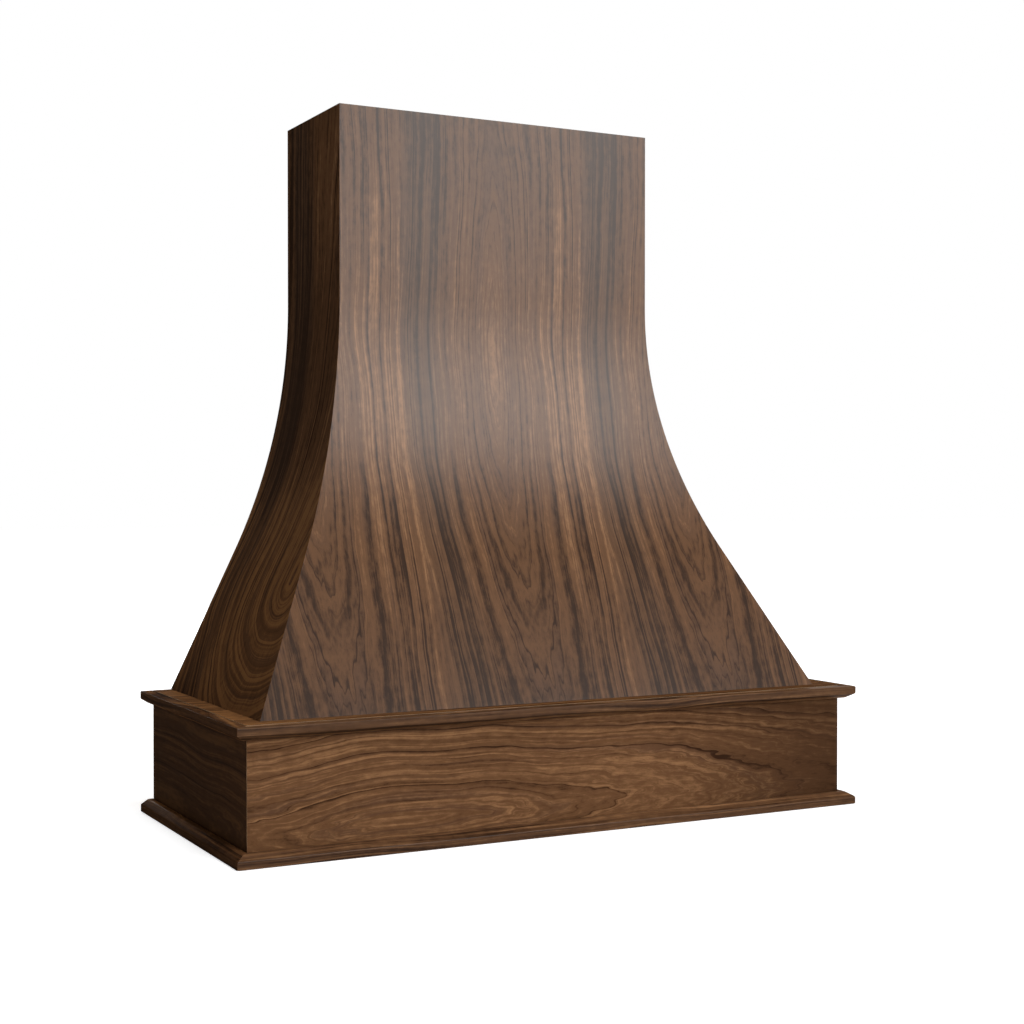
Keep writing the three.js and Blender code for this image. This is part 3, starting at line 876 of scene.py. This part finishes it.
def flat_panel(shape, flare, reach):
    """A flat blank of a skin, in across, depth and length. reach gives its two edges at a height."""
    work = bmesh.new()
    bmesh.ops.create_cube(work, size=1.0, matrix=Matrix.Translation((0.5, 0.5, 0.5)))
    lengthwise = [edge for edge in work.edges if abs(edge.verts[0].co.z - edge.verts[1].co.z) > 0.5]
    bmesh.ops.subdivide_edges(work, edges=lengthwise, cuts=shape.rows - 1, use_grid_fill=True)
    for vert in work.verts:
        inset = vert.co.y * shape.skin
        along = vert.co.z * flare.full_length(inset, shape.lift)
        start, end = reach(flare.place(along, inset)[1], inset)
        vert.co = (start + vert.co.x * (end - start), inset, along)
    return work


def bend_panel(work, flare, skin, to_place):
    """Records the grain on the flat blank, then bends it to the flare."""
    layer = work.verts.layers.float_vector.new("grain")
    for vert in work.verts:
        across, inset, along = vert.co
        vert[layer] = Vector((across, along, ply_depth(inset, skin)))
        offset, height = flare.place(along, inset)
        vert.co = to_place(across, offset, height)
    bmesh.ops.recalc_face_normals(work, faces=work.faces)


def veneer_outside(work):
    """The outer ply of a skin is walnut, and what lies behind it is birch."""
    ply = bpy.context.scene.inside_finish.ply
    layer = work.verts.layers.float_vector["grain"]
    for face in work.faces:
        depth = sum(vert[layer].z for vert in face.verts) / len(face.verts)
        face.material_index = int(depth < ply)


def make_skin(side, walnut, flare, reach, to_place):
    """Cuts a flat blank of veneered plywood, eases its edges and bends it."""
    shape = bpy.context.scene.hood_shape
    work = flat_panel(shape, flare, reach)
    ease_edges(work, shape.ease / 2)
    bend_panel(work, flare, shape.skin, to_place)
    veneer_outside(work)
    materials = [birch_ply(), walnut]
    node = f"chimney_{side}_skin"
    add_piece(f"bent_{side}_skin", work, materials, node)


def make_front_skin(chimney):
    def reach(height, inset):
        half = chimney.half_width_at(height, inset)
        return -half, half

    def to_place(across, offset, height):
        return (across, chimney.wall - chimney.depth - offset, chimney.deck + height)

    make_skin("front", chimney_front_veneer(), chimney.front, reach, to_place)


def make_side_skin(chimney, side, sign):
    def reach(height, inset):
        return 0.0, chimney.depth_at(height, inset)

    def to_place(across, offset, height):
        x = sign * (chimney.half_width + offset)
        return (x, chimney.wall - across, chimney.deck + height)

    make_skin(side, chimney_side_veneer(), chimney.side, reach, to_place)


# ---------- operators ----------


class HOOD_OT_chimney_skins(bpy.types.Operator):
    """Bends the three veneered skins of the chimney"""

    bl_idname = "hood.chimney_skins"
    bl_label = "Chimney skins"

    def execute(self, context):
        chimney = Chimney()
        make_front_skin(chimney)
        for side, sign in SIDES.items():
            make_side_skin(chimney, side, sign)
        return {"FINISHED"}


class HOOD_OT_box(bpy.types.Operator):
    """Veneers the boards of the box and its deck"""

    bl_idname = "hood.box"
    bl_label = "Box and deck"

    def execute(self, context):
        make_board("box_front_board", "x", "-y", birch_ply(), box_front_veneer())
        for side, sign in SIDES.items():
            face = "-x" if sign < 0 else "+x"
            make_board(f"box_{side}_board", "y", face, birch_ply(), box_side_veneer())
        make_board("deck", "x", "+z", birch_ply(), deck_veneer())
        make_board("box_back_board", "x", "+y", birch_ply())
        return {"FINISHED"}


class HOOD_OT_mouldings(bpy.types.Operator):
    """Cuts the two bands of moulding from solid walnut"""

    bl_idname = "hood.mouldings"
    bl_label = "Mouldings"

    def execute(self, context):
        ease = context.scene.hood_shape.moulding_ease
        lengths = {
            "front": ("x", "-y", front_moulding_walnut()),
            "left": ("y", "-x", side_moulding_walnut()),
            "right": ("y", "+x", side_moulding_walnut()),
        }
        for number, level in enumerate(LEVELS):
            for place, (along, face, wood) in lengths.items():
                node = f"{level}_moulding_{place}"
                shift = MOULDING_STEP * number
                make_board(node, along, face, wood, ease=ease, shift=shift)
        return {"FINISHED"}


class HOOD_OT_frame(bpy.types.Operator):
    """Cuts the stiles, rails, ribs and stretchers from birch plywood"""

    bl_idname = "hood.frame"
    bl_label = "Frame"

    def execute(self, context):
        for level in ("upper", "lower"):
            make_board(f"hanging_rail_{level}", "x", "+y", birch_ply())
        for number, side in enumerate(SIDES):
            cuts = {
                f"back_stile_{side}": ("z", "+y"),
                f"side_rib_{side}": ("z", "+y"),
                f"front_mid_rib_{side}": ("z", "+x"),
                f"front_corner_rib_{side}": ("z", "+x"),
                f"front_jack_rib_{side}": ("z", "+x"),
                f"stretcher_{side}": ("y", "+x"),
            }
            for order, (node, (along, face)) in enumerate(cuts.items()):
                shift = FRAME_STEP * order + SIDE_STEP * number
                make_board(node, along, face, birch_ply(), shift=shift)
        return {"FINISHED"}


class HOOD_OT_cleats(bpy.types.Operator):
    """Cuts the cleats and glue blocks from poplar"""

    bl_idname = "hood.cleats"
    bl_label = "Cleats and blocks"

    def execute(self, context):
        pieces = [(f"liner_cleat_{place}", "x") for place in ("front", "back")]
        pieces += [(f"liner_cleat_{side}", "y") for side in SIDES]
        pieces += [("foot_cleat_front", "x")]
        pieces += [(f"foot_cleat_{side}", "y") for side in SIDES]
        for side in SIDES:
            pieces += [(f"corner_block_{place}_{side}", "z") for place in ("front", "back")]
            pieces += [(f"glue_block_{level}_{side}", "z") for level in ("low", "high")]
        for number, (node, along) in enumerate(pieces):
            face = "+x" if along == "z" else "+z"
            make_board(node, along, face, poplar(), shift=CLEAT_STEP * number)
        return {"FINISHED"}


class HOOD_OT_screws(bpy.types.Operator):
    """Plates the screws of the cleats and the deck"""

    bl_idname = "hood.screws"
    bl_label = "Screws"

    def execute(self, context):
        for node in sorted(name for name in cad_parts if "screw" in name):
            work = merged_copy(node)
            ease_edges(work, context.scene.hood_shape.screw_ease)
            add_piece(f"finished_{node}", work, [zinc()], node)
        return {"FINISHED"}


# ---------- the studio ----------


class Lamp(NamedTuple):
    """A soft rectangular lamp, in metres and degrees. It shines on a point at a height on the part's
    middle line, and stands at a yaw from +Y towards +X and a pitch up from there."""

    width: float
    height: float
    shines_on: float
    yaw: float
    pitch: float
    distance: float


LAMPS = {
    "softbox": Lamp(4.0, 3.4, shines_on=0.75, yaw=150.5, pitch=22.0, distance=12.0),
    "low_softbox": Lamp(4.0, 2.6, shines_on=0.75, yaw=150.5, pitch=8.0, distance=12.0),
    "front_key": Lamp(2.4, 2.4, shines_on=0.5, yaw=184.0, pitch=60.0, distance=7.0),
    "front_fill": Lamp(1.2, 1.2, shines_on=0.4, yaw=174.0, pitch=12.0, distance=3.2),
    "back_light": Lamp(0.8, 1.6, shines_on=0.5, yaw=0.0, pitch=8.0, distance=5.0),
}

# Half the floor's side, and the gap under the part, in metres.
FLOOR_REACH = 20.0
FLOOR_GAP = 0.0005
# The camera sees the floor dimmer near the part than far off, between two distances from it.
FLOOR_GLOW = Run(0.8, 3.5, 0.68, 0.92)
# Mirrored rays see a white floor only behind the part, from these distances on.
WHITE_FLOOR = (1.4, 2.2)
# They see a white room only within these angles of the camera's own direction.
WHITE_ROOM = (math.cos(math.radians(30)), math.cos(math.radians(21)))


def direction_of(yaw, pitch):
    """A direction turned from +Y towards +X by yaw and up by pitch."""
    level = math.cos(pitch)
    return Vector((math.sin(yaw) * level, math.cos(yaw) * level, math.sin(pitch)))


def aim(thing, place, direction):
    thing.location = place
    thing.rotation_euler = direction.to_track_quat("-Z", "Y").to_euler()


def add_camera(studio):
    data = bpy.data.cameras.new("camera")
    data.sensor_width = 36.0
    data.lens = studio.lens
    camera = bpy.data.objects.new("camera", data)
    bpy.context.scene.collection.objects.link(camera)
    aim(camera, Vector(studio.eye), direction_of(studio.yaw, studio.pitch))
    bpy.context.scene.camera = camera


def add_lamp(name, power_in_watts, lamp):
    data = bpy.data.lights.new(name, "AREA")
    data.shape = "RECTANGLE"
    data.size = lamp.width
    data.size_y = lamp.height
    data.energy = power_in_watts
    made = bpy.data.objects.new(name, data)
    bpy.context.scene.collection.objects.link(made)
    towards = direction_of(math.radians(lamp.yaw), math.radians(lamp.pitch))
    aim(made, Vector((0, 0, lamp.shines_on)) + towards * lamp.distance, -towards)


def white_rays(g, where):
    """Masks of the rays that see white, which are the camera's and those mirrored ones that meet a
    place where the backdrop is white, and of all mirrored rays."""
    rays = g.node("LightPath").outputs
    mirrored = g.math("MAXIMUM", rays["Is Glossy Ray"], rays["Is Transmission Ray"])
    return g.math("MAXIMUM", rays["Is Camera Ray"], g.times(mirrored, where)), mirrored


def add_floor(studio):
    """A pale floor that takes the part's shadow, and that the camera sees as nearly white."""
    work = bmesh.new()
    bmesh.ops.create_grid(work, x_segments=1, y_segments=1, size=FLOOR_REACH)
    mesh = bpy.data.meshes.new("floor")
    work.to_mesh(mesh)
    work.free()
    floor = bpy.data.objects.new("floor", mesh)
    floor.location.z = -FLOOR_GAP
    bpy.context.scene.collection.objects.link(floor)
    material, g = start_material("floor")
    place = g.node("TexCoord").outputs["Object"]
    behind = g.fade(g.dot(place, direction_of(studio.yaw, 0.0)), *WHITE_FLOOR)
    white, _ = white_rays(g, behind)
    distance = g.node("VectorMath", {0: place}, operation="LENGTH").outputs[1]
    glow = g.times(white, g.fade(distance, *FLOOR_GLOW))
    plain = g.node("BsdfDiffuse", {"Color": opaque(studio.floor)})
    shine = g.node("Emission", {"Color": (1, 1, 1, 1), "Strength": glow})
    both = g.node("AddShader", {0: plain.outputs[0], 1: shine.outputs[0]})
    g.node("OutputMaterial", {0: both.outputs[0]})
    mesh.materials.append(material)


def set_world(studio):
    """A white background, and a dimmer room that lights the part."""
    world = bpy.data.worlds.new("studio")
    world.use_nodes = True
    world.node_tree.nodes.clear()
    bpy.context.scene.world = world
    g = Graph(world.node_tree)
    towards = g.node("TexCoord").outputs["Generated"]
    ahead = g.fade(g.dot(towards, direction_of(studio.yaw, studio.pitch)), *WHITE_ROOM)
    white, mirrored = white_rays(g, ahead)
    room = g.line(mirrored, -0.5 * studio.ambient, studio.ambient)
    strength = g.add(room, g.times(white, g.minus(1.0, room)))
    background = g.node("Background", {"Color": (1, 1, 1, 1), "Strength": strength})
    g.node("OutputWorld", {0: background.outputs[0]})


class HOOD_OT_studio(bpy.types.Operator):
    """Sets up the camera, the lamps, the floor and the background"""

    bl_idname = "hood.studio"
    bl_label = "Studio"

    def execute(self, context):
        studio = context.scene.studio
        context.scene.view_settings.view_transform = "Standard"
        add_camera(studio)
        add_floor(studio)
        set_world(studio)
        for name, lamp in LAMPS.items():
            add_lamp(name, getattr(studio, name), lamp)
        return {"FINISHED"}


OPERATORS = (
    HOOD_OT_studio,
    HOOD_OT_chimney_skins,
    HOOD_OT_box,
    HOOD_OT_mouldings,
    HOOD_OT_frame,
    HOOD_OT_cleats,
    HOOD_OT_screws,
)
GROUPS = {
    "hood_shape": HoodShape,
    "walnut_finish": WalnutFinish,
    "inside_finish": InsideFinish,
    "studio": Studio,
}


class VIEW3D_PT_hood(bpy.types.Panel):
    """Lists the pieces of the hood cover, their sizes and their finishes"""

    bl_label = "Hood cover"
    bl_idname = "VIEW3D_PT_hood"
    bl_space_type = "VIEW_3D"
    bl_region_type = "UI"
    bl_category = "Hood cover"

    def draw(self, context):
        for operator in OPERATORS:
            self.layout.operator(operator.bl_idname)
        for name in GROUPS:
            settings = getattr(context.scene, name)
            box = self.layout.box()
            for key in settings.__annotations__:
                box.prop(settings, key)


def register():
    for group in GROUPS.values():
        bpy.utils.register_class(group)
    for name, group in GROUPS.items():
        setattr(bpy.types.Scene, name, bpy.props.PointerProperty(type=group))
    for operator in OPERATORS:
        bpy.utils.register_class(operator)
    bpy.utils.register_class(VIEW3D_PT_hood)


def unregister():
    bpy.utils.unregister_class(VIEW3D_PT_hood)
    for operator in reversed(OPERATORS):
        bpy.utils.unregister_class(operator)
    for name in GROUPS:
        delattr(bpy.types.Scene, name)
    for group in reversed(GROUPS.values()):
        bpy.utils.unregister_class(group)


def main():
    register()
    for operator in OPERATORS:
        space, name = operator.bl_idname.split(".")
        getattr(getattr(bpy.ops, space), name)()


if __name__ == "__main__":
    main()
